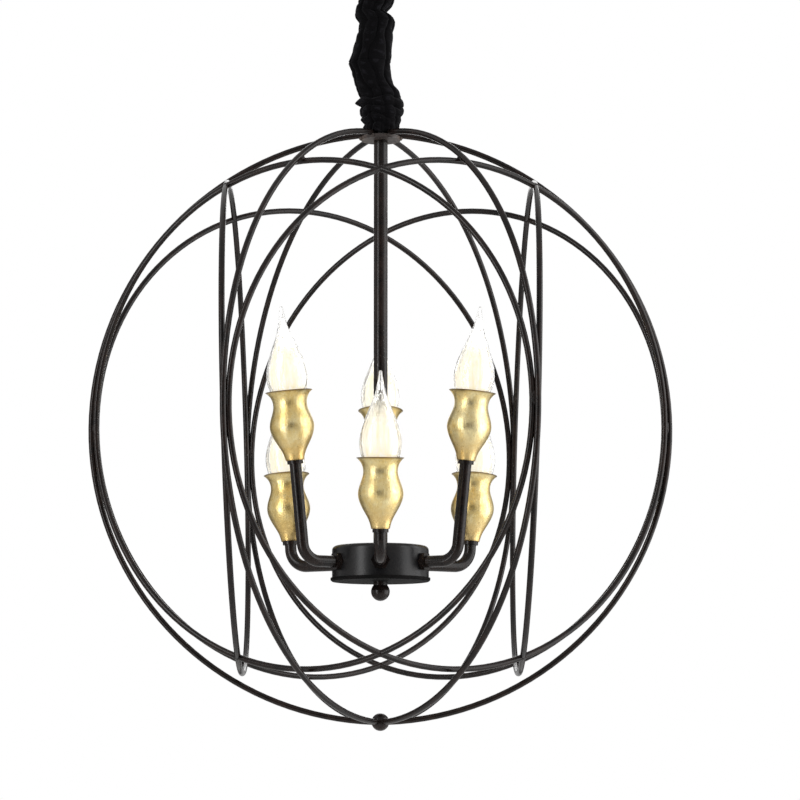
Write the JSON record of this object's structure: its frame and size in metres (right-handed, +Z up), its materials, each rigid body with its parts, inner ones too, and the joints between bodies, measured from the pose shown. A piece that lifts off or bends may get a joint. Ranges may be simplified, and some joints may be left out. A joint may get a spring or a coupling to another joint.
{
  "type": "orb chandelier",
  "caption": "Open wire globe chandelier of black ribs and rings round a stem with tiered candle lights in gold tulip cups, hung by a cloth-covered chain from a ceiling canopy.",
  "frame": {"origin": "centre of the ceiling bracket's upper face, on the ceiling plane", "axes": "+Z up into the ceiling, -Y to the front, the bracket's screw line along X"},
  "size_m": [0.5, 0.4336, 0.6822],
  "materials": {
    "black_iron": "matte black paint with faint brown highlights on bent iron rod",
    "gold_leaf": "mottled brushed gold",
    "black_velvet": "scrunched black velvet",
    "zinc_steel": "zinc-plated steel",
    "holder_insert": "cream heat-proof plastic",
    "nickel_cap": "nickel-plated screw cap",
    "clear_glass": "clear candle bulb glass, lit warm white"
  },
  "bodies": {
    "ceiling": {"ceiling_bracket": "zinc_steel", "nipple": "zinc_steel", "bracket_nut": "zinc_steel", "canopy": "black_iron", "collar_ring": "black_iron", "canopy_loop": "black_iron"},
    "chain": {"chain_links": "black_iron", "fabric_sleeve": "black_velvet"},
    "loop": {"hub_loop": "black_iron"},
    "globe": {"hub_plate": "black_iron", "hub_nut": "black_iron", "stem": "black_iron", "bottom_ball": "black_iron", "body_shell": "black_iron", "body_cover": "black_iron", "stem_nut": "zinc_steel", "finial": "black_iron", "arm_nuts": "black_iron", "rib_1": "black_iron", "rib_2": "black_iron", "rib_3": "black_iron", "rib_4": "black_iron", "rib_5": "black_iron", "rib_6": "black_iron", "ring_1": "black_iron", "ring_2": "black_iron", "ring_3": "black_iron", "ring_4": "black_iron", "ring_5": "black_iron", "ring_6": "black_iron", "arm_1": "black_iron", "arm_2": "black_iron", "arm_3": "black_iron", "arm_4": "black_iron", "arm_5": "black_iron", "arm_6": "black_iron", "cup_1": "gold_leaf", "cup_2": "gold_leaf", "cup_3": "gold_leaf", "cup_4": "gold_leaf", "cup_5": "gold_leaf", "cup_6": "gold_leaf", "lampholder_1": "holder_insert", "lampholder_2": "holder_insert", "lampholder_3": "holder_insert", "lampholder_4": "holder_insert", "lampholder_5": "holder_insert", "lampholder_6": "holder_insert"},
    "bulb_1": {"bulb_cap_1": "nickel_cap", "bulb_glass_1": "clear_glass"},
    "bulb_2": {"bulb_cap_2": "nickel_cap", "bulb_glass_2": "clear_glass"},
    "bulb_3": {"bulb_cap_3": "nickel_cap", "bulb_glass_3": "clear_glass"},
    "bulb_4": {"bulb_cap_4": "nickel_cap", "bulb_glass_4": "clear_glass"},
    "bulb_5": {"bulb_cap_5": "nickel_cap", "bulb_glass_5": "clear_glass"},
    "bulb_6": {"bulb_cap_6": "nickel_cap", "bulb_glass_6": "clear_glass"}
  },
  "joints": [
    {"name": "chain_swing", "type": "hinge", "parent": "ceiling", "child": "chain", "pos_m": [0, 0, -0.051], "axis": [1, 0, 0], "range_deg": [-12, 12], "deforming": ["fabric_sleeve"]},
    {"name": "globe_swing", "type": "hinge", "parent": "chain", "child": "loop", "pos_m": [0, 0, -0.1415], "axis": [0, 1, 0], "range_deg": [-12, 12], "deforming": ["fabric_sleeve"]},
    {"name": "globe_turn", "type": "hinge", "parent": "loop", "child": "globe", "pos_m": [0, 0, -0.1682], "axis": [0, 0, 1], "range_deg": [-90, 90]},
    {"name": "bulb_1_unscrew", "type": "slide", "parent": "globe", "child": "bulb_1", "axis": [0, -0.0698, 0.9976], "range_m": [0, 0.028]},
    {"name": "bulb_2_unscrew", "type": "slide", "parent": "globe", "child": "bulb_2", "axis": [0.0935, -0.054, 0.9942], "range_m": [0, 0.028]},
    {"name": "bulb_3_unscrew", "type": "slide", "parent": "globe", "child": "bulb_3", "axis": [0.0604, 0.0349, 0.9976], "range_m": [0, 0.028]},
    {"name": "bulb_4_unscrew", "type": "slide", "parent": "globe", "child": "bulb_4", "axis": [0, 0.108, 0.9942], "range_m": [0, 0.028]},
    {"name": "bulb_5_unscrew", "type": "slide", "parent": "globe", "child": "bulb_5", "axis": [-0.0604, 0.0349, 0.9976], "range_m": [0, 0.028]},
    {"name": "bulb_6_unscrew", "type": "slide", "parent": "globe", "child": "bulb_6", "axis": [-0.0935, -0.054, 0.9942], "range_m": [0, 0.028]}
  ]
}
